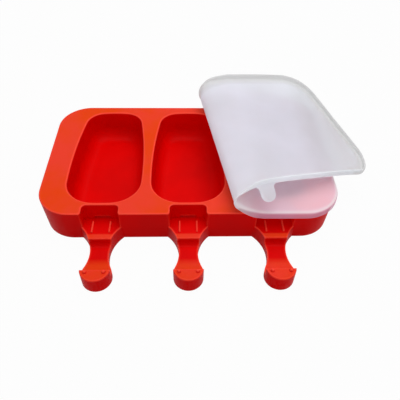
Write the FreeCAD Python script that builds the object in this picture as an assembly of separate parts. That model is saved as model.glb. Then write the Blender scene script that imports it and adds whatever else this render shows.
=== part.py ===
import FreeCAD, Part
import math
import os

# Ice pop mould: a one-piece silicone tray with three oval cavities, each with a stick holder in
# front, and a flexible translucent lid that is folded back over itself on the right-hand cavity.
# Millimetres, +Z up, +Y to the back, origin on the floor under the middle of the tray.

# Tray
tray_length = 200.0
tray_depth = 116.0
tray_height = 25.5
tray_corner = 23.0
wall_lean = 1.2
deck_thickness = 2.5
skirt_thickness = 2.5
lip = 0.6

# Cavities: a flatter front end, gently bowed sides and a rounder back end
cavity_count = 3
cavity_pitch = 57.5
cavity_width = 51.0
cavity_length = 98.0
cavity_depth = 22.5
cavity_draft = 1.4
cavity_floor_round = 9.0
land_width = 1.9
side_bow_radius = 360.0
widest_station = 31.0
front_bow_radius = 150.0
front_corner_radius = 20.0
back_bow_radius = 100.0
back_corner_radius = 14.0
cup_wall = 2.2
cup_foot_bevel = 6.0

# Notch in front of each cavity, open to the front and floored by the holder's shelf
notch_width = 24.0
notch_depth = 8.4
notch_corner = 3.0
notch_wall = 2.5
mouth_round = 2.2
mouth_entry = 2.0
mouth_flare_turn = 64.0

# Stick holder: shelf, waisted neck and round end
shelf_height = 12.0
shelf_reach = 9.4
neck_height = 6.0
neck_width = 12.4
waist_station = 17.0
ball_radius = 9.6
ball_station = 32.0
stop_station = 33.1
step_round = 3.0
holder_edge = 0.4

# Stick guides
stick_width = 10.0
stick_thickness = 2.0
stick_clearance = 0.2
rib_width = 1.1
rib_height = 1.4
rib_front = 4.2
rib_back = 6.0
peg_radius = 1.3
peg_top_radius = 0.9
peg_height = 1.5
peg_setback = 1.9

# Lid, folded back about a line that crosses it at a slant: it lifts off the tray, turns over in
# a tight crease, rises a little more and ends in a firm flap whose free end droops
lid_thickness = 2.0
lid_gap = 0.3
lid_clearance = 0.6
lid_skirt_thickness = 1.2
lid_skirt_depth = 5.8
lid_stretch = 7.7
fold_offset = 54.0
fold_slant = 10.26
lift_radius = 40.3
lift_turn = 31.2
crease_radius = 4.2
crease_turn = 121.9
rise_radius = 32.8
rise_turn = 38.3
fold_skirt_share = 0.4
fold_skirt_reach = 14.0
fold_sections = 8
flap_firm_share = 0.647
flap_firm_turn = 3.4
flap_droop_turn = 30.0
tab_station = 6.2
tab_width = 9.8
tab_length = 10.2
tab_root = 2.0
tab_root_round = 1.6
tab_thickness = 1.6
tab_droop = 36.0

# Sizes that follow from the ones above
front = -tray_depth / 2
cavity_front = front + notch_depth + land_width
shelf_thickness = deck_thickness
rib_spacing = stick_width + 2 * stick_clearance + rib_width
slit_width = stick_width + 2 * stick_clearance
slit_height = stick_thickness + stick_clearance
lid_overhang = lid_skirt_thickness + lid_clearance
lid_right = tray_length / 2 + lid_overhang
lid_left = lid_stretch - lid_right
lid_top = tray_height + lid_gap + lid_thickness
overlap = 1.0
arc_middle = 1 - math.sqrt(0.5)

Vec = FreeCAD.Vector
UP = Vec(0, 0, 1)
ACROSS = Vec(-math.cos(math.radians(fold_slant)), -math.sin(math.radians(fold_slant)), 0)
ALONG = Vec(-math.sin(math.radians(fold_slant)), math.cos(math.radians(fold_slant)), 0)
fold_foot = Vec(fold_offset, front, lid_top)
lift_end = lift_radius * math.radians(lift_turn)
crease_end = lift_end + crease_radius * math.radians(crease_turn)
rise_end = crease_end + rise_radius * math.radians(rise_turn)
flap_length = (fold_offset - lid_left) * math.cos(math.radians(fold_slant)) - rise_end
firm_end = rise_end + flap_firm_share * flap_length
flap_end = rise_end + flap_length + tray_depth
flap_turn = lift_turn + crease_turn + rise_turn
firm_radius = (firm_end - rise_end) / math.radians(flap_firm_turn)
droop_radius = (rise_end + flap_length - firm_end) / math.radians(flap_droop_turn)
run_ends = [lift_end, crease_end, rise_end, firm_end, flap_end]
run_radii = [lift_radius, crease_radius, rise_radius, firm_radius, droop_radius]


def segment(a, b):
    return Part.LineSegment(a, b).toShape()


def arc(a, b, c):
    return Part.Arc(a, b, c).toShape()


def rounded_rectangle(length, depth, radius, z):
    """Closed plan wire centred on the Z axis, with round corners."""
    x = length / 2
    y = depth / 2
    k = radius * arc_middle
    r = radius
    edges = [
        segment(Vec(-x + r, -y, z), Vec(x - r, -y, z)),
        arc(Vec(x - r, -y, z), Vec(x - k, -y + k, z), Vec(x, -y + r, z)),
        segment(Vec(x, -y + r, z), Vec(x, y - r, z)),
        arc(Vec(x, y - r, z), Vec(x - k, y - k, z), Vec(x - r, y, z)),
        segment(Vec(x - r, y, z), Vec(-x + r, y, z)),
        arc(Vec(-x + r, y, z), Vec(-x + k, y - k, z), Vec(-x, y - r, z)),
        segment(Vec(-x, y - r, z), Vec(-x, -y + r, z)),
        arc(Vec(-x, -y + r, z), Vec(-x + k, -y + k, z), Vec(-x + r, -y, z)),
    ]
    return Part.Wire(edges)


def tray_plan(inset, z):
    """The tray's drafted plan at height z, drawn in by inset."""
    lean = inset + wall_lean * (tray_height - z) / tray_height
    return rounded_rectangle(tray_length - 2 * lean, tray_depth - 2 * lean, tray_corner - lean, z)


def tray_block():
    """Outer block of the tray, with a small bevel along the deck's outer edge."""
    shoulder = tray_height - lip
    wall = Part.makeLoft([tray_plan(0, 0), tray_plan(0, shoulder)], True, True)
    bevel = Part.makeLoft([tray_plan(0, shoulder), tray_plan(lip, tray_height)], True, True)
    return wall.fuse(bevel)


def corner_between(c1, r1, c2, r2, radius):
    """Centre of the corner arc inside two larger arcs, and the points where it touches them."""
    d = c2.sub(c1)
    dist = d.Length
    a = r1 - radius
    b = r2 - radius
    along = (a * a - b * b + dist * dist) / (2 * dist)
    across = math.sqrt(a * a - along * along)
    unit = d.multiply(1 / dist)
    normal = Vec(-unit.y, unit.x, 0)
    centre = c1 + unit * along + normal * across
    return centre, c1 + (centre - c1).normalize() * r1, c2 + (centre - c2).normalize() * r2


def arc_about(centre, start, end, radius):
    """Arc about a centre, through the point halfway between its ends."""
    middle = ((start - centre) + (end - centre)).normalize() * radius
    return arc(start, centre + middle, end)


def cavity_half_plan(x, inset, z):
    """Right half of one cavity's plan about its axis at x, drawn in by inset: tangent arcs."""
    y0 = cavity_front + inset
    y1 = cavity_front + cavity_length - inset
    ys = cavity_front + widest_station
    side_r = side_bow_radius - inset
    front_r = front_bow_radius - inset
    back_r = back_bow_radius - inset
    corner_f = front_corner_radius - inset
    corner_b = back_corner_radius - inset
    front_c = Vec(x, y0 + front_r, z)
    back_c = Vec(x, y1 - back_r, z)
    side_c = Vec(x + cavity_width / 2 - inset - side_r, ys, z)
    f_c, f_a, f_b = corner_between(front_c, front_r, side_c, side_r, corner_f)
    b_c, b_a, b_b = corner_between(side_c, side_r, back_c, back_r, corner_b)
    start = Vec(x, y0, z)
    end = Vec(x, y1, z)
    return Part.Wire([
        arc_about(front_c, start, f_a, front_r),
        arc_about(f_c, f_a, f_b, corner_f),
        arc_about(side_c, f_b, b_a, side_r),
        arc_about(b_c, b_a, b_b, corner_b),
        arc_about(back_c, b_b, end, back_r),
        segment(end, start),
    ])


def both_halves(half, x):
    """Whole form from its right half, mirrored about the plane at x."""
    return half.fuse(half.mirror(Vec(x, 0, 0), Vec(1, 0, 0))).removeSplitter()


def edges_at(shape, z):
    """Edges that lie in the level plane at height z."""
    found = []
    for edge in shape.Edges:
        box = edge.BoundBox
        if abs(box.ZMin - z) < 1e-4 and abs(box.ZMax - z) < 1e-4:
            found.append(edge)
    return found


def rim_edges(shape, x, z):
    """Edges of a half form that lie at height z, apart from the one in its mirror plane."""
    return [e for e in edges_at(shape, z) if e.BoundBox.XMax > x + 1e-4]


def cavity_form(x):
    """Space of one cavity: drafted walls, a floor with a large blend and a bevelled mouth."""
    floor = tray_height - cavity_depth
    shoulder = tray_height - lip
    draft_at_shoulder = cavity_draft * lip / cavity_depth
    wall = Part.makeLoft([cavity_half_plan(x, cavity_draft, floor),
                          cavity_half_plan(x, draft_at_shoulder, shoulder)], True, True)
    wall = wall.makeFillet(cavity_floor_round, rim_edges(wall, x, floor))
    mouth = Part.makeLoft([cavity_half_plan(x, draft_at_shoulder, shoulder),
                           cavity_half_plan(x, -lip, tray_height)], True, True)
    return both_halves(wall.fuse(mouth), x)


def cup_form(x):
    """Outside of one cup, below the deck, with a bevel round its flat foot."""
    wall = Part.makeLoft([cavity_half_plan(x, cavity_draft - cup_wall, 0),
                          cavity_half_plan(x, -cup_wall, tray_height)], True, True)
    return both_halves(wall.makeChamfer(cup_foot_bevel, rim_edges(wall, x, 0)), x)


def waist_radius():
    """Radius of the neck's concave sides, tangent to the round end."""
    reach = ball_station - waist_station
    half = neck_width / 2
    return (reach * reach + half * half - ball_radius * ball_radius) / (2 * (ball_radius - half))


def holder_plan(x, z):
    """Plan of one stick holder: from the tray wall, along the waist and round the end."""
    r = waist_radius()
    cx = neck_width / 2 + r
    cy = front - waist_station
    root_y = front + skirt_thickness / 2
    root_x = cx - math.sqrt(r * r - (root_y - cy) ** 2)
    neck_x = neck_width / 2
    ball_y = front - ball_station
    span = math.hypot(cx, cy - ball_y)
    touch_x = ball_radius * cx / span
    touch_y = ball_y + ball_radius * (cy - ball_y) / span
    edges = [
        arc(Vec(x + root_x, root_y, z), Vec(x + neck_x, cy, z), Vec(x + touch_x, touch_y, z)),
        arc(Vec(x + touch_x, touch_y, z), Vec(x, ball_y - ball_radius, z),
            Vec(x - touch_x, touch_y, z)),
        arc(Vec(x - touch_x, touch_y, z), Vec(x - neck_x, cy, z), Vec(x - root_x, root_y, z)),
        segment(Vec(x - root_x, root_y, z), Vec(x + root_x, root_y, z)),
    ]
    return Part.Wire(edges)


def holder_side(x):
    """Side view of one stick holder: shelf, curved step down to the neck, stop at the end."""
    y0 = front + skirt_thickness
    y1 = front - shelf_reach
    y2 = front - stop_station
    y3 = front - ball_station - ball_radius - overlap
    r = step_round
    k = r * arc_middle
    p = [
        Vec(x, y0, 0),
        Vec(x, y0, shelf_height),
        Vec(x, y1, shelf_height),
        Vec(x, y1, neck_height + r),
        Vec(x, y1 - r, neck_height),
        Vec(x, y2, neck_height),
        Vec(x, y2, shelf_height),
        Vec(x, y3, shelf_height),
        Vec(x, y3, 0),
    ]
    edges = [
        segment(p[0], p[1]),
        segment(p[1], p[2]),
        segment(p[2], p[3]),
        arc(p[3], Vec(x, y1 - k, neck_height + k), p[4]),
        segment(p[4], p[5]),
        segment(p[5], p[6]),
        segment(p[6], p[7]),
        segment(p[7], p[8]),
        segment(p[8], p[0]),
    ]
    return Part.Wire(edges)


def holder(x):
    """Stick holder as a solid: its plan and its side view, each carried through the other."""
    plan = Part.Face(holder_plan(x, 0)).extrude(UP * (shelf_height + overlap))
    reach = ball_radius + cavity_width / 2
    side = Part.Face(holder_side(x - reach)).extrude(Vec(2 * reach, 0, 0))
    body = plan.common(side).Solids[0]
    tops = [e for e in edges_at(body, shelf_height) if e.BoundBox.YMax < front - shelf_reach / 2]
    return body.makeChamfer(holder_edge, tops)


def notch_block(x):
    """Material round one notch, under the deck: its side walls and the shelf's own thickness."""
    half = notch_width / 2 + notch_wall
    bottom = shelf_height - shelf_thickness
    return Part.makeBox(2 * half, notch_depth + land_width + overlap, tray_height - bottom,
                        Vec(x - half, front, bottom))


def notch_plan(x, outset, z):
    """Plan of one notch: round back corners, and a mouth that flares out to the front wall."""
    w = notch_width / 2 + outset
    back = front + notch_depth + outset
    c = notch_corner + outset
    k = c * arc_middle
    r = mouth_round - outset
    entry = front + mouth_entry
    turn = math.asin(min(mouth_entry / r, math.sin(math.radians(mouth_flare_turn))))
    out = front - skirt_thickness

    def flare(angle):
        return Vec(w + r * (1 - math.cos(angle)), entry - r * math.sin(angle), z)

    half = [
        Vec(0, back, z),
        Vec(w - c, back, z),
        Vec(w - k, back - k, z),
        Vec(w, back - c, z),
        Vec(w, entry, z),
        flare(turn / 2),
        flare(turn),
        Vec(w + mouth_round, out, z),
        Vec(0, out, z),
    ]
    edges = []
    for side in (1, -1):
        p = [Vec(x + side * v.x, v.y, v.z) for v in half]
        edges += [
            segment(p[0], p[1]),
            arc(p[1], p[2], p[3]),
            segment(p[3], p[4]),
            arc(p[4], p[5], p[6]),
            segment(p[6], p[7]),
            segment(p[7], p[8]),
        ]
    return Part.Wire(Part.__sortEdges__(edges))


def notch_cut(x):
    """Space of one notch above the shelf, with a bevelled rim."""
    space = Part.Face(notch_plan(x, 0, shelf_height)).extrude(UP * (tray_height - shelf_height))
    rim = Part.makeLoft([notch_plan(x, 0, tray_height - lip), notch_plan(x, lip, tray_height)],
                        True, True)
    return space.fuse(rim)


def slit_cut(x):
    """Slot through the cavity's front wall that the stick goes in by."""
    start = front + notch_depth - overlap
    return Part.makeBox(slit_width, land_width + cavity_draft + 2 * overlap, slit_height,
                        Vec(x - slit_width / 2, start, shelf_height))


def rib(x):
    """Low guide rib on the shelf, with its top edges eased."""
    box = Part.makeBox(rib_width, rib_front + rib_back, rib_height + overlap,
                       Vec(x - rib_width / 2, front - rib_front, shelf_height - overlap))
    tops = edges_at(box, shelf_height + rib_height)
    return box.makeChamfer(rib_width / 3, tops)


def peg(x):
    """Small tapered peg that keeps the end of the stick in line."""
    y = front - stop_station - peg_setback
    taper = (peg_radius - peg_top_radius) / peg_height
    return Part.makeCone(peg_radius + taper * overlap, peg_top_radius, peg_height + overlap,
                         Vec(x, y, shelf_height - overlap))


def cavity_axes():
    first = -(cavity_count - 1) / 2 * cavity_pitch
    return [first + i * cavity_pitch for i in range(cavity_count)]


def outer_form():
    """The tray seen from outside: drafted block with its holders, cavities and notches."""
    axes = cavity_axes()
    body = tray_block().fuse([holder(x) for x in axes])
    return body.cut([cavity_form(x) for x in axes] + [notch_cut(x) for x in axes])


def hollow():
    """Space under the deck, round the cups and the notches."""
    axes = cavity_axes()
    top = tray_height - deck_thickness
    space = Part.makeLoft([tray_plan(skirt_thickness, -overlap), tray_plan(skirt_thickness, top)],
                          True, True)
    return space.cut([cup_form(x) for x in axes] + [notch_block(x) for x in axes])


def mould_tray():
    body = outer_form().cut([hollow()] + [slit_cut(x) for x in cavity_axes()])
    guides = []
    for x in cavity_axes():
        for side in (-1, 1):
            guides.append(rib(x + side * rib_spacing / 2))
            guides.append(peg(x + side * rib_spacing / 2))
    return body.fuse(guides).removeSplitter()


def fold_turn(s):
    """Angle that the sheet has turned through at arc length s across the fold."""
    turn = 0.0
    start = 0.0
    for radius, end in zip(run_radii, run_ends):
        turn += max(min(s, end) - start, 0) / radius
        start = end
    return turn


def fold_point(s, depth):
    """Point at arc length s across the fold, at a depth below the lid's upper side."""
    x = min(s, 0.0)
    z = 0.0
    turn = 0.0
    start = 0.0
    for radius, end in zip(run_radii, run_ends):
        step = max(min(s, end) - start, 0) / radius
        x += radius * (math.sin(turn + step) - math.sin(turn))
        z -= radius * (math.cos(turn + step) - math.cos(turn))
        turn += step
        start = end
    return fold_foot + ACROSS * (x + depth * math.sin(turn)) + UP * (z - depth * math.cos(turn))


def run_edge(s0, s1, depth):
    """Edge of the bent cross-section between two arc lengths of one run."""
    a, b, c = (fold_point(s, depth) for s in (s0, (s0 + s1) / 2, s1))
    return arc(a, b, c)


def skirt_depth_at(s, depth):
    """Depth of the skirt's rim: round the crease the stretched skirt leans in and is less high."""
    middle = (lift_end + crease_end) / 2
    reach = (crease_end - lift_end) / 2 + fold_skirt_reach
    near = max(1 - abs(s - middle) / reach, 0)
    return depth * (1 - (1 - fold_skirt_share) * near * near * (3 - 2 * near))


def rim_edge(s0, s1, depth):
    """Skirt's rim between two arc lengths of the fold."""
    def at(s):
        return fold_point(s, skirt_depth_at(s, depth))

    step = (s1 - s0) / fold_sections
    small = step / 100
    curve = Part.BSplineCurve()
    curve.interpolate(Points=[at(s0 + i * step) for i in range(fold_sections + 1)],
                      InitialTangent=at(s0 + small) - at(s0 - small),
                      FinalTangent=at(s1 + small) - at(s1 - small))
    return curve.toShape()


def sheet_band(edges_in, edges_out):
    """Solid band of the bent sheet between two edges of its cross-section, carried along the fold."""
    first = segment(edges_in[0].firstVertex(True).Point, edges_out[0].firstVertex(True).Point)
    last = segment(edges_in[-1].lastVertex(True).Point, edges_out[-1].lastVertex(True).Point)
    wire = Part.Wire(Part.__sortEdges__([first] + edges_in + edges_out + [last]))
    reach = tray_length
    face = Part.Face(wire)
    face.translate(ALONG * (-reach))
    return face.extrude(ALONG * (2 * reach))


def flat_band(depth_in, depth_out):
    start = -tray_length
    return sheet_band([segment(fold_point(start, depth_in), fold_point(0, depth_in))],
                      [segment(fold_point(start, depth_out), fold_point(0, depth_out))])


def fold_band(s0, s1, depth_in, depth_out, relaxed):
    outer = rim_edge(s0, s1, depth_out) if relaxed else run_edge(s0, s1, depth_out)
    return sheet_band([run_edge(s0, s1, depth_in)], [outer])


def flap_band(depth_in, depth_out):
    ends = [rise_end, firm_end, flap_end]
    return sheet_band([run_edge(s0, s1, depth_in) for s0, s1 in zip(ends, ends[1:])],
                      [run_edge(s0, s1, depth_out) for s0, s1 in zip(ends, ends[1:])])


def lid_outline(inset):
    """Outline of the unfolded lid, drawn in by inset: lines and corner arcs as point functions."""
    x0 = lid_left + inset
    x1 = lid_right - inset
    y = tray_depth / 2 + lid_overhang - inset
    r = tray_corner + lid_overhang - inset

    def line(a, b):
        return lambda t: a + (b - a) * t

    def corner(cx, cy, start):
        def at(t):
            angle = math.radians(start + 90 * t)
            return Vec(cx + r * math.cos(angle), cy + r * math.sin(angle), 0)
        return at

    return [
        line(Vec(x1 - r, y, 0), Vec(x0 + r, y, 0)),
        corner(x0 + r, y - r, 90),
        line(Vec(x0, y - r, 0), Vec(x0, -y + r, 0)),
        corner(x0 + r, -y + r, 180),
        line(Vec(x0 + r, -y, 0), Vec(x1 - r, -y, 0)),
    ]


def sheet_place(p):
    """Arc length across the fold and distance along it, of a point of the unfolded lid."""
    v = Vec(p.x - fold_offset, p.y - front, 0)
    return v.dot(ACROSS), v.dot(ALONG)


def flap_trim(inset):
    """Space that the flap fills, drawn in by inset, as a prism square to the fold's end."""
    pieces = lid_outline(inset)
    turn = math.radians(flap_turn)
    normal = ACROSS * math.sin(turn) - UP * math.cos(turn)
    base = fold_point(rise_end, 0) - normal * tray_depth

    def dropped(p):
        s, v = sheet_place(p)
        q = fold_point(s, 0) + ALONG * v
        return q - normal * (q - base).dot(normal)

    def curve(piece, t0, t1, count):
        points = [dropped(piece(t0 + (t1 - t0) * i / count)) for i in range(count + 1)]
        spline = Part.BSplineCurve()
        spline.interpolate(points)
        return spline.toShape()

    def share_at(piece, s):
        s0 = sheet_place(piece(0))[0]
        s1 = sheet_place(piece(1))[0]
        return (s - s0) / (s1 - s0)

    back, back_corner, end, front_corner, front_edge = pieces
    b0 = share_at(back, rise_end)
    b1 = share_at(back, firm_end)
    f0 = share_at(front_edge, rise_end)
    f1 = share_at(front_edge, firm_end)
    edges = [curve(back, b0, min(b1, 1), 3)]
    if b1 < 1:
        edges.append(curve(back, b1, 1, 3))
    edges.append(curve(back_corner, 0, 1, 6))
    edges.append(curve(end, 0, 1, 5))
    edges.append(curve(front_corner, 0, 1, 6))
    if f1 > 0:
        edges.append(curve(front_edge, 0, f1, 3))
    edges.append(curve(front_edge, max(f1, 0), f0, 3))
    edges.append(segment(dropped(front_edge(f0)), dropped(back(b0))))
    return Part.Face(Part.Wire(Part.__sortEdges__(edges))).extrude(normal * (2 * tray_depth))


def fold_trim(inset, s0, s1):
    """Space that one run of the fold fills, drawn in by inset: its two ends wind like a thread."""
    y = tray_depth / 2 + lid_overhang - inset
    slant = math.radians(fold_slant)
    sections = []
    for i in range(fold_sections + 1):
        s = s0 + (s1 - s0) * i / fold_sections
        v0, v1 = ((edge_y - front) / math.cos(slant) + s * math.tan(slant) for edge_y in (-y, y))
        inner = fold_point(s, -overlap)
        outer = fold_point(s, 2 * lid_skirt_depth)
        corners = [inner + ALONG * v0, outer + ALONG * v0, outer + ALONG * v1, inner + ALONG * v1]
        sections.append(Part.makePolygon(corners + corners[:1]))
    return Part.makeLoft(sections, True, False)


def flat_trim(inset):
    """Space that the flat layer fills, drawn in by inset."""
    block = Part.Face(rounded_rectangle(
        2 * (lid_right - inset), tray_depth + 2 * (lid_overhang - inset),
        tray_corner + lid_overhang - inset, lid_top - 2 * lid_skirt_depth))
    return block.extrude(UP * (3 * lid_skirt_depth))


def trimmed(band, trim):
    """The one solid of a band that lies inside its trim, without any sliver of the cut."""
    return max(band.common(trim).Solids, key=lambda solid: solid.Volume)


def lid_layer(depth_in, depth_out, inset, relaxed):
    """The whole folded sheet between two depths, trimmed to the lid's outline, run by run."""
    layer = [trimmed(flat_band(depth_in, depth_out), flat_trim(inset))]
    for s0, s1 in ((0, lift_end), (lift_end, crease_end), (crease_end, rise_end)):
        band = fold_band(s0, s1, depth_in, depth_out, relaxed)
        layer.append(trimmed(band, fold_trim(inset, s0, s1)))
    return layer + [trimmed(flap_band(depth_in, depth_out), flap_trim(inset))]


def pull_tab():
    """Round-ended pull tab on the lid's front edge, drooping a little from the flap."""
    s, v = sheet_place(Vec(tab_station, front - lid_overhang, 0))
    turn = fold_turn(s)
    tangent = ACROSS * math.cos(turn) + UP * math.sin(turn)
    under = ACROSS * math.sin(turn) - UP * math.cos(turn)
    slant = math.radians(fold_slant)
    droop = math.radians(tab_droop)
    out = tangent * math.sin(slant) - ALONG * math.cos(slant)
    side = tangent * math.cos(slant) + ALONG * math.sin(slant)
    out = out * math.cos(droop) - under * math.sin(droop)
    normal = side.cross(out)
    if normal.dot(under) < 0:
        normal = normal * -1
    root = fold_point(s, 0) + ALONG * v
    w = tab_width / 2
    r = tab_root_round
    k = r * arc_middle

    def at(across, along):
        return root + side * across + out * along

    edges = [
        segment(at(-w - r, -tab_root), at(w + r, -tab_root)),
        segment(at(w + r, -tab_root), at(w + r, 0)),
        arc(at(w + r, 0), at(w + k, k), at(w, r)),
        segment(at(w, r), at(w, tab_length - w)),
        arc(at(w, tab_length - w), at(0, tab_length), at(-w, tab_length - w)),
        segment(at(-w, tab_length - w), at(-w, r)),
        arc(at(-w, r), at(-w - k, k), at(-w - r, 0)),
        segment(at(-w - r, 0), at(-w - r, -tab_root)),
    ]
    return Part.Face(Part.Wire(edges)).extrude(normal * tab_thickness)


def lid():
    sheet = lid_layer(0, lid_skirt_depth, 0, True)
    inside = lid_layer(lid_thickness, lid_skirt_depth + overlap, lid_skirt_thickness, False)
    parts = [whole.cut(space) for whole, space in zip(sheet, inside)]
    return parts[0].fuse(parts[1:] + [pull_tab()]).removeSplitter()


def save(name, shape):
    solids = shape.Solids
    part = solids[0] if len(solids) == 1 else Part.makeCompound(solids)
    print(name, "solids", len(solids), "valid", part.isValid(), "volume", round(part.Volume, 1))
    part.exportStep("parts/" + name + ".step")


os.makedirs("parts", exist_ok=True)
save("mould_tray", mould_tray())
save("lid", lid())
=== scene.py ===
import math

import bmesh
import bpy
from mathutils import Matrix, Vector


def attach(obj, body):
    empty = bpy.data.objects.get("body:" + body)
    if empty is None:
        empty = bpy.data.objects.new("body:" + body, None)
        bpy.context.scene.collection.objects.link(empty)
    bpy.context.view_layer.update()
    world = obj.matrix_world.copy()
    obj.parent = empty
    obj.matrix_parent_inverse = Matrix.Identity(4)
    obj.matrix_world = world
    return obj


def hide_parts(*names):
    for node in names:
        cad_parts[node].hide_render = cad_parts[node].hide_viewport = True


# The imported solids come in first: the tray and its lid, in metres, +Z up and +Y to the back.
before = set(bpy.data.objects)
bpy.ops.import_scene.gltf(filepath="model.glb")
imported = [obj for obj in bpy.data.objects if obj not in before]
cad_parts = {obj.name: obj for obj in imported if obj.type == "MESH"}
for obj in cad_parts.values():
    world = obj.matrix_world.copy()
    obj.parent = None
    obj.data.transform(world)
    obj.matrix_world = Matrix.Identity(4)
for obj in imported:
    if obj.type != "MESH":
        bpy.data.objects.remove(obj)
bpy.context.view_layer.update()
bpy.ops.object.select_all(action="DESELECT")


# The tray: one moulding of food-grade silicone rubber, cast red right through. Where its deck,
# skirt and stick holders face up to the open room, an orange-red is mixed into their colour: a
# painted sheen, the room's light reflected off them. The walled-in cavities and stick beds keep
# the deep red.
cad_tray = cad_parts["mould_tray"]
deck_top = max(corner[2] for corner in cad_tray.bound_box)
shelf_top, slit_middle, slit_reach = 0.0120, 0.0131, 0.0017
shelf_front, waist_front, notch_back = -0.0630, -0.0790, -0.0535
edge_rounding = 0.0004
sharp_turn, smooth_turn = math.radians(32), math.radians(40)
cad_tray.select_set(True)
bpy.context.view_layer.objects.active = cad_tray
bpy.ops.object.duplicate()
tray = bpy.context.object
tray.name = "moulded_tray"
bpy.ops.mesh.customdata_custom_splitnormals_clear()
bpy.ops.object.mode_set(mode="EDIT")
bpy.ops.mesh.select_all(action="SELECT")
bpy.ops.mesh.remove_doubles(threshold=0.00001)
bpy.ops.mesh.dissolve_limited(angle_limit=math.radians(0.5))
bpy.ops.object.mode_set(mode="OBJECT")

# Its outer edges are rounded by up to 0.4 mm, one run of edges after another, so that
# the finest detail of one run doesn't hold back the others.
shell = bmesh.new()
shell.from_mesh(tray.data)
sharp = [edge for edge in shell.edges if edge.calc_face_angle_signed() > sharp_turn]
left_over = set(sharp)
for first in sharp:
    if first in left_over:
        left_over.discard(first)
        run = [first]
        for edge in run:
            for corner in edge.verts:
                for other in corner.link_edges:
                    if other in left_over:
                        left_over.discard(other)
                        run.append(other)
        bmesh.ops.bevel(shell, geom=run, offset=edge_rounding, offset_type="OFFSET",
                        segments=2, profile=0.5, affect="EDGES", clamp_overlap=True)
shell.to_mesh(tray.data)
shell.free()


def linear(code):
    """Linear colour of an sRGB hex value."""
    shares = [int(code[i:i + 2], 16) / 255 for i in (1, 3, 5)]
    return [s / 12.92 if s <= 0.04045 else ((s + 0.055) / 1.055) ** 2.4 for s in shares] + [1.0]


def add_node(tree, kind, inputs=None, **settings):
    """Adds a node with its settings, and sets or links its inputs."""
    node = tree.nodes.new(kind)
    for name, value in settings.items():
        setattr(node, name, value)
    for name, value in (inputs or {}).items():
        if isinstance(value, bpy.types.NodeSocket):
            tree.links.new(value, node.inputs[name])
        else:
            node.inputs[name].default_value = value
    return node


rubber = bpy.data.materials.new("red_moulded_silicone")
rubber.use_nodes = True
tree = rubber.node_tree
tree.nodes.clear()
place = add_node(tree, "ShaderNodeTexCoord")
facing = add_node(tree, "ShaderNodeNewGeometry")
facing_parts = add_node(tree, "ShaderNodeSeparateXYZ", {"Vector": facing.outputs["Normal"]})
facing_up = add_node(tree, "ShaderNodeMapRange", {
    "Value": facing_parts.outputs["Z"], "From Min": 0.50, "From Max": 0.95},
    interpolation_type="SMOOTHSTEP")
place_parts = add_node(tree, "ShaderNodeSeparateXYZ", {"Vector": place.outputs["Object"]})

# The painted sheen goes at deck level and in front of the stick holders' waist, where up-facing
# faces see the open room. The cavities and stick beds, below the deck and behind the waist, get
# none. In front of the waist, and on the shelves' front lips, the painted sheen is a little
# weaker.
sheen_region_share = 0.78
at_deck_level = add_node(tree, "ShaderNodeMapRange", {
    "Value": place_parts.outputs["Z"], "From Min": deck_top - 0.0010,
    "From Max": deck_top - 0.0001})
before_waist = add_node(tree, "ShaderNodeMapRange", {
    "Value": place_parts.outputs["Y"], "From Min": waist_front, "From Max": waist_front - 0.0050,
    "To Max": sheen_region_share})
shelf_lip = add_node(tree, "ShaderNodeMapRange", {
    "Value": place_parts.outputs["Y"], "From Min": shelf_front, "From Max": shelf_front - 0.0012,
    "To Max": sheen_region_share})
shelf_level = add_node(tree, "ShaderNodeMapRange", {
    "Value": place_parts.outputs["Z"], "From Min": shelf_top - 0.0008,
    "From Max": shelf_top - 0.0002})
lip = add_node(tree, "ShaderNodeMath", {
    0: shelf_lip.outputs["Result"], 1: shelf_level.outputs["Result"]}, operation="MULTIPLY")
lower_sheen_region = add_node(tree, "ShaderNodeMath", {
    0: lip.outputs["Value"], 1: before_waist.outputs["Result"]}, operation="MAXIMUM")
sheen_region = add_node(tree, "ShaderNodeMath", {
    0: at_deck_level.outputs["Result"], 1: lower_sheen_region.outputs["Value"]}, operation="MAXIMUM")
# The painted sheen: up-facing faces in that region get the orange-red.
painted_sheen = add_node(tree, "ShaderNodeMath", {
    0: facing_up.outputs["Result"], 1: sheen_region.outputs["Value"]}, operation="MULTIPLY")

# Clouds of slightly uneven pigment, about 35 mm across.
cloud = add_node(tree, "ShaderNodeTexNoise", {
    "Vector": place.outputs["Object"], "Scale": 28.0, "Detail": 3.0, "Roughness": 0.55})
patches = add_node(tree, "ShaderNodeMapRange", {
    "Value": cloud.outputs["Fac"], "From Min": 0.35, "From Max": 0.65},
    interpolation_type="SMOOTHSTEP")
deep_red = add_node(tree, "ShaderNodeMix", {
    "Factor": patches.outputs["Result"], 6: linear("#d40000"), 7: linear("#dd0000")},
    data_type="RGBA")
# The orange-red of the painted sheen, over the same pigment clouds.
sheen_red = add_node(tree, "ShaderNodeMix", {
    "Factor": patches.outputs["Result"], 6: linear("#e6410f"), 7: linear("#ea3f2b")},
    data_type="RGBA")
colour = add_node(tree, "ShaderNodeMix", {
    "Factor": painted_sheen.outputs["Value"], 6: deep_red.outputs[2], 7: sheen_red.outputs[2]},
    data_type="RGBA")

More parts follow.
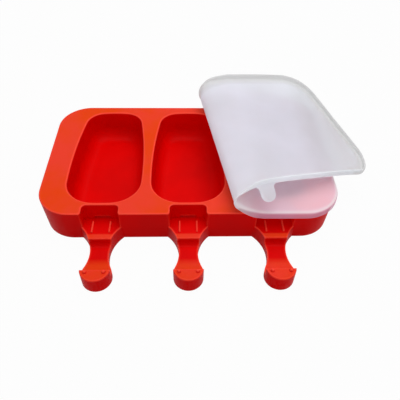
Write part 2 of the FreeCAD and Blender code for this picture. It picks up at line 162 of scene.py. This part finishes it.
# A painted highlight along outer edges: where an inside occlusion test finds a convex edge, a
# paler red is painted in, as light catching a rounded edge. The rounded rims of the deck and its
# cavities, the only faces there that tilt, get this painted highlight all over.
depth_below = add_node(tree, "ShaderNodeAmbientOcclusion", {"Distance": 0.0014},
                       inside=True, only_local=True, samples=8)
edge_highlight_paint = add_node(tree, "ShaderNodeMapRange", {
    "Value": depth_below.outputs["AO"], "From Min": 0.95, "From Max": 0.62, "To Max": 0.75},
    interpolation_type="SMOOTHSTEP")
rim_normal = add_node(tree, "ShaderNodeSeparateXYZ", {"Vector": facing.outputs["True Normal"]})
rim_top = add_node(tree, "ShaderNodeMapRange", {
    "Value": rim_normal.outputs["Z"], "From Min": 0.995, "From Max": 0.97, "To Max": 0.9})
rim_side = add_node(tree, "ShaderNodeMapRange", {
    "Value": rim_normal.outputs["Z"], "From Min": 0.25, "From Max": 0.35})
rim_level = add_node(tree, "ShaderNodeMapRange", {
    "Value": place_parts.outputs["Z"], "From Min": deck_top - 0.0009,
    "From Max": deck_top - 0.0007})
rim_turn = add_node(tree, "ShaderNodeMath", {
    0: rim_top.outputs["Result"], 1: rim_side.outputs["Result"]}, operation="MULTIPLY")
rim_highlight_paint = add_node(tree, "ShaderNodeMath", {
    0: rim_turn.outputs["Value"], 1: rim_level.outputs["Result"]}, operation="MULTIPLY")
all_highlight_paint = add_node(tree, "ShaderNodeMath", {
    0: edge_highlight_paint.outputs["Result"], 1: rim_highlight_paint.outputs["Value"]}, operation="MAXIMUM")

# The stick's slit at the back of each notch has rubber all round it, so its edges get no painted
# highlight, and nor do the back ends of the ribs, which run into the same wall.
slit_level = add_node(tree, "ShaderNodeMath", {
    0: place_parts.outputs["Z"], 1: slit_middle, 2: slit_reach}, operation="COMPARE")
before_slit = add_node(tree, "ShaderNodeMath", {
    0: place_parts.outputs["Y"], 1: notch_back}, operation="LESS_THAN")
off_slit = add_node(tree, "ShaderNodeMath", {0: 1.0, 1: slit_level.outputs["Value"]},
                    operation="SUBTRACT")
highlight_kept = add_node(tree, "ShaderNodeMath", {
    0: off_slit.outputs["Value"], 1: before_slit.outputs["Value"]}, operation="MAXIMUM")
glow = add_node(tree, "ShaderNodeMath", {
    0: all_highlight_paint.outputs["Value"], 1: highlight_kept.outputs["Value"]}, operation="MULTIPLY")
# The painted edge highlight: a paler red mixed in along those edges.
with_highlight_paint = add_node(tree, "ShaderNodeMix", {
    "Factor": glow.outputs["Value"], 6: colour.outputs[2], 7: linear("#ff4e3c")},
    data_type="RGBA")

# Blasted grain of about half a millimetre, and a slow ripple of the cast rubber, 11 mm long.
sheen_spots = add_node(tree, "ShaderNodeMapRange", {
    "Value": cloud.outputs["Fac"], "To Min": 0.38, "To Max": 0.50})
grain = add_node(tree, "ShaderNodeTexNoise", {
    "Vector": place.outputs["Object"], "Scale": 1800.0, "Detail": 2.0})
ripple = add_node(tree, "ShaderNodeTexNoise", {
    "Vector": place.outputs["Object"], "Scale": 90.0, "Detail": 1.0})
grain_bump = add_node(tree, "ShaderNodeBump", {
    "Height": grain.outputs["Fac"], "Strength": 0.12, "Distance": 0.0002})
ripple_bump = add_node(tree, "ShaderNodeBump", {
    "Height": ripple.outputs["Fac"], "Strength": 0.25, "Distance": 0.0004,
    "Normal": grain_bump.outputs["Normal"]})
surface = add_node(tree, "ShaderNodeBsdfPrincipled", {
    "Base Color": with_highlight_paint.outputs[2], "Roughness": sheen_spots.outputs["Result"],
    "Normal": ripple_bump.outputs["Normal"], "IOR": 1.41, "Specular IOR Level": 0.045,
    "Subsurface Weight": 0.15, "Subsurface Scale": 0.002,
    "Subsurface Radius": (1.0, 0.15, 0.08)})
add_node(tree, "ShaderNodeOutputMaterial", {"Surface": surface.outputs["BSDF"]})
tray.data.materials.clear()
tray.data.materials.append(rubber)
bpy.ops.object.shade_smooth_by_angle(angle=smooth_turn)
even_shade = tray.modifiers.new("even_shade", "WEIGHTED_NORMAL")
even_shade.keep_sharp = True
bpy.ops.object.modifier_apply(modifier="even_shade")
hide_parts("mould_tray")
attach(tray, "root")
bpy.ops.object.select_all(action="DESELECT")


# The lid: a thin cap of milky silicone, cast without pigment. It is modelled flat, as it leaves
# its mould, and then peeled off its left end and folded back over itself by the fold's own arcs,
# where it rests by its own weight. Its sheet scatters light both ways, and its rim is clearer.
flat_left, flat_right, flat_side, flat_round = -0.0941, 0.1018, 0.0598, 0.0248
flat_middle, flat_half = (flat_left + flat_right) / 2, (flat_right - flat_left) / 2
sheet_thickness, rim_thickness, rim_depth = 0.0020, 0.0012, 0.0058
bpy.ops.mesh.primitive_plane_add(size=1, location=(flat_middle, 0, 0))
lid = bpy.context.object
lid.name = "folded_lid"
lid.scale = (2 * flat_half, 2 * flat_side, 1)
bpy.ops.object.transform_apply(location=True, rotation=False, scale=True)
bpy.ops.object.mode_set(mode="EDIT")
bpy.ops.mesh.select_all(action="SELECT")
bpy.ops.mesh.bevel(offset=flat_round, segments=16, affect="VERTICES")
bpy.ops.mesh.extrude_region_move(TRANSFORM_OT_translate={"value": (0, 0, -rim_depth)})
bpy.ops.mesh.inset(thickness=rim_thickness)
bpy.ops.mesh.extrude_region_move(
    TRANSFORM_OT_translate={"value": (0, 0, rim_depth - sheet_thickness)})
bpy.ops.mesh.select_all(action="SELECT")
bpy.ops.mesh.normals_make_consistent(inside=False)


def select_where(piece, kind, wanted):
    """Selects the vertices, edges or faces of a piece in edit mode that are wanted."""
    bpy.ops.mesh.select_mode(type=kind)
    bpy.ops.mesh.select_all(action="DESELECT")
    shell = bmesh.from_edit_mesh(piece.data)
    for item in {"VERT": shell.verts, "EDGE": shell.edges, "FACE": shell.faces}[kind]:
        item.select_set(wanted(item))
    shell.select_flush_mode()
    bmesh.update_edit_mesh(piece.data)


# Its corners are rounded as in the mould: wide outside, less so inside, and least at the lip.
hairbreadth = 1e-6
for level, rounding, segments in ((0.0, 0.0028, 6), (-sheet_thickness, 0.0016, 4),
                                  (-rim_depth, 0.0004, 2)):
    select_where(lid, "EDGE", lambda edge: (
        all(abs(point.co.z - level) < hairbreadth for point in edge.verts)
        and abs(edge.calc_face_angle_signed()) > math.radians(60)))
    bpy.ops.mesh.bevel(offset=rounding, segments=segments, affect="EDGES")

# A ring of faces beside the rim, where the clearer rim blends into the sheet. Only the sheet's
# two big faces are larger than a square decimetre.
ring_width = 0.0060
select_where(lid, "FACE", lambda face: face.calc_area() > 0.01)
bpy.ops.mesh.inset(thickness=ring_width, use_individual=True)

# The fold: radius and turn of each arc, as the solid lid's, and the folded end's slight droop.
slant = math.radians(10.26)
across = Vector((-math.cos(slant), -math.sin(slant), 0))
along = Vector((-math.sin(slant), math.cos(slant), 0))
upward = Vector((0, 0, 1))
fold_foot = Vector((0.054, -0.058, 0.0278))
flat_foot = Vector((fold_foot.x, fold_foot.y, 0))
bends = ((0.0403, 31.2), (0.0042, 121.9), (0.0328, 38.3))
flap_turn = math.radians(sum(turn for radius, turn in bends))
arcs = [(radius, radius * math.radians(turn)) for radius, turn in bends]
flap_length = (fold_foot.x - flat_left) * math.cos(slant) - sum(length for radius, length in arcs)
firm_share, firm_turn, droop_turn = 0.647, math.radians(3.4), math.radians(30.0)
arcs.append((firm_share * flap_length / firm_turn, firm_share * flap_length))
arcs.append(((1 - firm_share) * flap_length / droop_turn, 2 * flap_length))

# Cuts across the sheet along each arc, closest in the tight crease, so that it bends smoothly.
spacings, last_cut = (0.0027, 0.0006, 0.0027, 0.0100, 0.0030), 0.150
stations = [0.0]
for (radius, length), spacing in zip(arcs, spacings):
    start = stations[-1]
    length = min(length, last_cut - start)
    count = round(length / spacing)
    stations += [start + length * (i + 1) / count for i in range(count)]
for station in stations:
    bpy.ops.mesh.select_all(action="SELECT")
    bpy.ops.mesh.bisect(plane_co=flat_foot + across * station, plane_no=across)
bpy.ops.object.mode_set(mode="OBJECT")

# Round the crease the rim is stretched, so that it leans in and stands less high.
crease_middle = arcs[0][1] + arcs[1][1] / 2
stretched_reach, stretched_share = arcs[1][1] / 2 + 0.014, 0.6


def folded(place):
    """Where a point of the flat lid lies once the lid is folded."""
    beside = Vector((place.x - fold_foot.x, place.y - fold_foot.y, 0))
    reach, level = beside.dot(across), beside.dot(along)
    run, rise, turn, start = min(reach, 0.0), 0.0, 0.0, 0.0
    for radius, length in arcs:
        step = max(min(reach, start + length) - start, 0) / radius
        run += radius * (math.sin(turn + step) - math.sin(turn))
        rise -= radius * (math.cos(turn + step) - math.cos(turn))
        turn += step
        start += length
    near = max(1 - abs(reach - crease_middle) / stretched_reach, 0)
    lowered = rim_depth * (1 - stretched_share * near * near * (3 - 2 * near))
    depth = -place.z
    if depth > sheet_thickness:
        share = (lowered - sheet_thickness) / (rim_depth - sheet_thickness)
        depth = sheet_thickness + (depth - sheet_thickness) * share
    turn = min(turn, flap_turn)
    return (fold_foot + across * (run + depth * math.sin(turn)) + along * level
            + upward * (rise - depth * math.cos(turn)))


# Three shares steer the material. The clearer rim, which is also painted greyer as painted shade:
# 1 on its wall, falling to 0 round the outer corner and across the inner ring. The outer corner
# itself, which carries a painted highlight. And the part that lies on the tray or close above it,
# which carries a painted red tint: 1 there, falling to 0 along the first arc.
share_names = ("rim_share", "corner_share", "tray_share")
corner_level, corner_reach, ring_end = 0.0007, 0.0008, 0.0088
warm_end, warm_fade = 0.026, 0.024
for share in share_names:
    lid.data.attributes.new(share, "FLOAT", "POINT")
shares = [lid.data.attributes[share].data for share in share_names]
for point, rim, corner, lower in zip(lid.data.vertices, *shares):
    reach = (point.co - flat_foot).dot(across)
    lower.value = min(max((warm_end - reach) / warm_fade, 0), 1)
    out_x = abs(point.co.x - flat_middle) - flat_half + flat_round
    out_y = abs(point.co.y) - flat_side + flat_round
    if out_x > 0 and out_y > 0:
        from_edge = flat_round - math.hypot(out_x, out_y)
    else:
        from_edge = flat_round - max(out_x, out_y)
    depth = -point.co.z
    if depth < sheet_thickness - 0.0001:
        rim.value = min(max((depth - corner_reach) / (sheet_thickness - corner_reach), 0), 1)
        corner.value = max(1 - abs(depth - corner_level) / corner_reach, 0)
    else:
        rim.value = min(max((ring_end - from_edge) / ring_width, 0), 1)
for point in lid.data.vertices:
    point.co = folded(point.co)

# The pull tab stands on the folded edge and droops. It is drawn flat and then set in place.
tab_half, tab_reach, tab_root = 0.0049, 0.0102, 0.0020
tab_flare, tab_thickness, tab_rounding = 0.0016, 0.0016, 0.0004
bpy.ops.mesh.primitive_plane_add(size=1, location=(0, -tab_root / 2, 0))
tab = bpy.context.object
tab.scale = (2 * (tab_half + tab_flare), tab_root, 1)
bpy.ops.object.transform_apply(location=True, rotation=False, scale=True)
bpy.ops.object.mode_set(mode="EDIT")
for side in (-tab_half, tab_half):
    bpy.ops.mesh.select_all(action="SELECT")
    bpy.ops.mesh.bisect(plane_co=(side, 0, 0), plane_no=(1, 0, 0))


def on_stem(point, level):
    """Whether a point of the flat tab is on its stem, at one distance from its root."""
    return abs(point.co.y - level) < hairbreadth and abs(point.co.x) < tab_half + hairbreadth


select_where(tab, "EDGE", lambda edge: all(on_stem(point, 0.0) for point in edge.verts))
bpy.ops.mesh.extrude_edges_move(TRANSFORM_OT_translate={"value": (0, tab_reach, 0)})
bpy.ops.mesh.select_all(action="SELECT")
bpy.ops.mesh.dissolve_limited(angle_limit=math.radians(1))
for level, rounding in ((0.0, tab_flare), (tab_reach, 0.99 * tab_half)):
    select_where(tab, "VERT", lambda point: on_stem(point, level))
    bpy.ops.mesh.bevel(offset=rounding, segments=8, affect="VERTICES")
bpy.ops.mesh.select_all(action="SELECT")
bpy.ops.mesh.extrude_region_move(TRANSFORM_OT_translate={"value": (0, 0, tab_thickness)})
bpy.ops.mesh.select_all(action="SELECT")
bpy.ops.mesh.normals_make_consistent(inside=False)
select_where(tab, "EDGE", lambda edge: (
    abs(edge.calc_face_angle_signed()) > math.radians(80)
    and abs(edge.verts[0].co.z - edge.verts[1].co.z) < hairbreadth))
bpy.ops.mesh.bevel(offset=tab_rounding, segments=2, affect="EDGES")
bpy.ops.object.mode_set(mode="OBJECT")

# How far the sheet has turned over where the tab stands, and the tab's own three directions.
tab_place, tab_droop = Vector((0.0062, -flat_side, 0)), math.radians(36.0)
tab_station = (tab_place - flat_foot).dot(across)
turn, start = 0.0, 0.0
for radius, length in arcs:
    turn += max(min(tab_station, start + length) - start, 0) / radius
    start += length
tangent = across * math.cos(turn) + upward * math.sin(turn)
under = across * math.sin(turn) - upward * math.cos(turn)
outward = tangent * math.sin(slant) - along * math.cos(slant)
outward = outward * math.cos(tab_droop) - under * math.sin(tab_droop)
sideways = tangent * math.cos(slant) + along * math.sin(slant)
raised = sideways.cross(outward)
if raised.dot(under) < 0:
    raised = -raised
root = folded(tab_place)
for point in tab.data.vertices:
    point.co = root + sideways * point.co.x + outward * point.co.y + raised * point.co.z
bpy.ops.object.mode_set(mode="EDIT")
bpy.ops.mesh.select_all(action="SELECT")
bpy.ops.mesh.normals_make_consistent(inside=False)
bpy.ops.object.mode_set(mode="OBJECT")
bpy.ops.object.select_all(action="DESELECT")
lid.select_set(True)
bpy.context.view_layer.objects.active = lid
bpy.ops.object.mode_set(mode="EDIT")
bpy.ops.mesh.select_all(action="SELECT")
bpy.ops.mesh.normals_make_consistent(inside=False)
bpy.ops.object.mode_set(mode="OBJECT")
one_moulding = lid.modifiers.new("one_moulding", "BOOLEAN")
one_moulding.operation = "UNION"
one_moulding.solver = "EXACT"
one_moulding.object = tab
bpy.ops.object.modifier_apply(modifier="one_moulding")
bpy.data.objects.remove(tab)

# The fold opens out a little to the back, where nothing presses it down.
most_open, front_end, back_end = 0.0023, -0.058, 0.070
fold_end, shut_end = 0.020, 0.070
for point in lid.data.vertices:
    towards_back = min(max((point.co.y - front_end) / (back_end - front_end), 0), 1)
    towards_fold = min(max((shut_end - point.co.x) / (shut_end - fold_end), 0), 1)
    point.co.x += most_open * towards_back * towards_fold

# The free corners are rounder than the sheet's cut, and the rim flares at the fold's back end.
# Each row is a point of the lid, how far round it the rubber gives, and how far the point moves.
for centre, reach, move in (((0.0149, 0.0624, 0.0454), 0.014, (-0.0004, 0.0004, 0.0022)),
                            ((0.1297, -0.0137, 0.0259), 0.022, (-0.0018, 0.0002, 0.0008)),
                            ((0.1275, 0.0110, 0.0240), 0.030, (0.0010, 0.0006, 0.0))):
    bpy.ops.object.mode_set(mode="EDIT")
    bpy.ops.mesh.select_mode(type="VERT")
    bpy.ops.mesh.select_all(action="DESELECT")
    bpy.ops.object.mode_set(mode="OBJECT")
    min(lid.data.vertices, key=lambda point: (point.co - Vector(centre)).length).select = True
    bpy.ops.object.mode_set(mode="EDIT")
    bpy.ops.transform.translate(value=move, use_proportional_edit=True,
                                proportional_edit_falloff="SMOOTH", proportional_size=reach)
    bpy.ops.object.mode_set(mode="OBJECT")

# Where the flap's edge faces the front, light falls straight on it, so it gets little of the rim's
# painted shade and looks like the sheet.
# The tab stands well above the tray, so it gets none of the painted red tint.
front_line, flap_level, clear_level, front_rim_share = -0.02, 0.0320, 0.0345, 0.2
shares = [lid.data.attributes[share].data for share in ("rim_share", "tray_share")]
for point, rim, lower in zip(lid.data.vertices, *shares):
    if point.co.y < front_line and point.co.z > flap_level:
        rim.value *= front_rim_share
    if point.co.z > clear_level:
        lower.value = 0

# Milky silicone, moulded without pigment: faintly bluish, and greyer towards its free end.
milky_silicone = bpy.data.materials.new("milky_silicone")
milky_silicone.use_nodes = True
tree = milky_silicone.node_tree
tree.nodes.clear()
place = add_node(tree, "ShaderNodeTexCoord")
place_parts = add_node(tree, "ShaderNodeSeparateXYZ", {"Vector": place.outputs["Object"]})
rim_share = add_node(tree, "ShaderNodeAttribute", attribute_name="rim_share")
corner_share = add_node(tree, "ShaderNodeAttribute", attribute_name="corner_share")
cloud = add_node(tree, "ShaderNodeTexNoise", {
    "Vector": place.outputs["Object"], "Scale": 35.0, "Detail": 2.0})
free_end = add_node(tree, "ShaderNodeMapRange", {
    "Value": place_parts.outputs["X"], "From Min": 0.080, "From Max": 0.112})
cloudy_end = add_node(tree, "ShaderNodeMath", {
    0: free_end.outputs["Result"], 1: cloud.outputs["Fac"]}, operation="ADD")
free_colour = add_node(tree, "ShaderNodeMix", {
    "Factor": cloudy_end.outputs["Value"], 6: linear("#f7f9fe"), 7: linear("#ebedf0")},
    data_type="RGBA", clamp_factor=True)

# Where the sheet lies on the tray, a pinkish tint is painted in: colour standing in for the tray's
# red light coming through the sheet.
tray_share = add_node(tree, "ShaderNodeAttribute", attribute_name="tray_share")
on_tray = add_node(tree, "ShaderNodeMapRange", {"Value": tray_share.outputs["Fac"]},
                   interpolation_type="SMOOTHSTEP")
sheet_colour = add_node(tree, "ShaderNodeMix", {
    "Factor": on_tray.outputs["Result"], 6: free_colour.outputs[2], 7: linear("#f9f0f9")},
    data_type="RGBA")
# The rim's wall is painted greyer than the sheet: painted shade, as less light falls straight on
# it. Over the tray it takes the painted red tint as well.
painted_rim_shade = add_node(tree, "ShaderNodeMix", {
    "Factor": on_tray.outputs["Result"], 6: linear("#e4e4e4"), 7: linear("#eec6de")},
    data_type="RGBA")
colour = add_node(tree, "ShaderNodeMix", {
    "Factor": rim_share.outputs["Fac"], 6: sheet_colour.outputs[2], 7: painted_rim_shade.outputs[2]},
    data_type="RGBA")

# The rounded outer corner throws light back: this is painted in as a pale line round the lid, a
# painted highlight.
corner_highlight_paint = add_node(tree, "ShaderNodeMath", {
    0: corner_share.outputs["Fac"], 1: 0.8}, operation="MULTIPLY")
with_corner_highlight = add_node(tree, "ShaderNodeMix", {
    "Factor": corner_highlight_paint.outputs["Value"], 6: colour.outputs[2], 7: linear("#ffffff")},
    data_type="RGBA")

# A moulded finish, half matt, over a slow ripple about 14 mm long. Most light goes through it.
finish = add_node(tree, "ShaderNodeMapRange", {
    "Value": cloud.outputs["Fac"], "To Min": 0.38, "To Max": 0.48})
ripple = add_node(tree, "ShaderNodeTexNoise", {
    "Vector": place.outputs["Object"], "Scale": 70.0, "Detail": 1.0})
ripple_bump = add_node(tree, "ShaderNodeBump", {
    "Height": ripple.outputs["Fac"], "Strength": 0.2, "Distance": 0.0005})
face = add_node(tree, "ShaderNodeBsdfPrincipled", {
    "Base Color": with_corner_highlight.outputs[2], "Roughness": finish.outputs["Result"],
    "Normal": ripple_bump.outputs["Normal"], "IOR": 1.41, "Specular IOR Level": 0.2})
scatter = add_node(tree, "ShaderNodeBsdfTranslucent", {
    "Color": with_corner_highlight.outputs[2], "Normal": ripple_bump.outputs["Normal"]})
glow = add_node(tree, "ShaderNodeMapRange", {
    "Value": rim_share.outputs["Fac"], "To Min": 0.69, "To Max": 0.60})
corner_glow = add_node(tree, "ShaderNodeMath", {
    0: corner_share.outputs["Fac"], 1: -0.45, 2: glow.outputs["Result"]}, operation="MULTIPLY_ADD")
sheet = add_node(tree, "ShaderNodeMixShader", {
    "Fac": corner_glow.outputs["Value"], 1: face.outputs["BSDF"], 2: scatter.outputs["BSDF"]})

# The rim's wall is about half as thick as the sheet, so it shows more of what is behind it.
clear_part = add_node(tree, "ShaderNodeMapRange", {
    "Value": on_tray.outputs["Result"], "To Min": 0.15, "To Max": 0.42})
clearness = add_node(tree, "ShaderNodeMath", {
    0: rim_share.outputs["Fac"], 1: clear_part.outputs["Result"]}, operation="MULTIPLY")
see_through = add_node(tree, "ShaderNodeBsdfTransparent", {"Color": linear("#ffffff")})
clear_wall = add_node(tree, "ShaderNodeMixShader", {
    "Fac": clearness.outputs["Value"], 1: sheet.outputs["Shader"],
    2: see_through.outputs["BSDF"]})
add_node(tree, "ShaderNodeOutputMaterial", {"Surface": clear_wall.outputs["Shader"]})
lid.data.materials.clear()
lid.data.materials.append(milky_silicone)
bpy.ops.object.shade_smooth_by_angle(angle=smooth_turn)
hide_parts("lid")
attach(lid, "root")
bpy.ops.object.select_all(action="DESELECT")


# The floor: a flat sheet of pale paper. The camera, gloss and clear rubber see it near white,
# and it keeps a faint shadow under the mould.
bpy.ops.mesh.primitive_plane_add(size=6.0, location=(0, 0, 0))
floor = bpy.context.object
floor.name = "floor"
pale_paper = bpy.data.materials.new("pale_paper")
pale_paper.use_nodes = True
tree = pale_paper.node_tree
tree.nodes.clear()


def seen_white(tree):
    """1 for a ray from the camera, from gloss or through clear rubber, and 0 for any other."""
    rays = add_node(tree, "ShaderNodeLightPath")
    clear = add_node(tree, "ShaderNodeMath", {
        0: rays.outputs["Is Camera Ray"], 1: rays.outputs["Is Transmission Ray"]},
        operation="MAXIMUM")
    return add_node(tree, "ShaderNodeMath", {
        0: clear.outputs["Value"], 1: rays.outputs["Is Glossy Ray"]}, operation="MAXIMUM")


share = add_node(tree, "ShaderNodeMath", {0: seen_white(tree).outputs["Value"], 1: 0.97},
                 operation="MULTIPLY")
paper = add_node(tree, "ShaderNodeBsdfDiffuse", {"Color": linear("#b4b4b4")})
glow = add_node(tree, "ShaderNodeEmission", {"Color": linear("#ffffff"), "Strength": 1.0})
mix = add_node(tree, "ShaderNodeMixShader", {
    "Fac": share.outputs["Value"], 1: paper.outputs["BSDF"], 2: glow.outputs["Emission"]})
add_node(tree, "ShaderNodeOutputMaterial", {"Surface": mix.outputs["Shader"]})
floor.data.materials.append(pale_paper)

# The room: soft grey light all round, which the camera, gloss and clear rubber see as white.
world = bpy.data.worlds.new("white_room")
bpy.context.scene.world = world
world.use_nodes = True
tree = world.node_tree
tree.nodes.clear()
room = add_node(tree, "ShaderNodeBackground", {"Color": linear("#ffffff"), "Strength": 0.33})
white = add_node(tree, "ShaderNodeBackground", {"Color": linear("#ffffff"), "Strength": 1.0})
mix = add_node(tree, "ShaderNodeMixShader", {
    "Fac": seen_white(tree).outputs["Value"], 1: room.outputs["Background"],
    2: white.outputs["Background"]})
add_node(tree, "ShaderNodeOutputWorld", {"Surface": mix.outputs["Shader"]})

# The key light is a large soft box above the mould, a little to its right and back. The fill
# light is a long low one in front, which lights the tray's skirt. Both point at the mould.
for name, position, width, height, energy in (
        ("key_light", (0.14, 0.12, 0.95), 1.0, 0.9, 8.0),
        ("fill_light", (0.05, -1.0, 0.12), 1.4, 0.35, 2.2)):
    bpy.ops.object.light_add(type="AREA", location=position)
    lamp = bpy.context.object
    lamp.name = name
    lamp.data.shape = "RECTANGLE"
    lamp.data.size, lamp.data.size_y, lamp.data.energy = width, height, energy
    lamp.rotation_euler = (-lamp.location).to_track_quat("-Z", "Y").to_euler()

# The camera: it looks down at the mould from the front, as in the photograph.
direction, roll = Vector((0.0293, 0.6824, -0.7304)).normalized(), math.radians(1.541)
camera_place = (-0.00075, -0.24674, 0.24041)
right = direction.cross(upward).normalized()
up = right.cross(direction)
tilted_right = right * math.cos(roll) + up * math.sin(roll)
tilted_up = up * math.cos(roll) - right * math.sin(roll)
bpy.ops.object.camera_add()
camera = bpy.context.object
camera.data.lens = 40.0
camera.data.sensor_width = 36.0
turn = Matrix((tilted_right, tilted_up, -direction)).transposed().to_4x4()
camera.matrix_world = Matrix.Translation(camera_place) @ turn
bpy.context.scene.camera = camera
bpy.context.scene.view_settings.view_transform = "Standard"
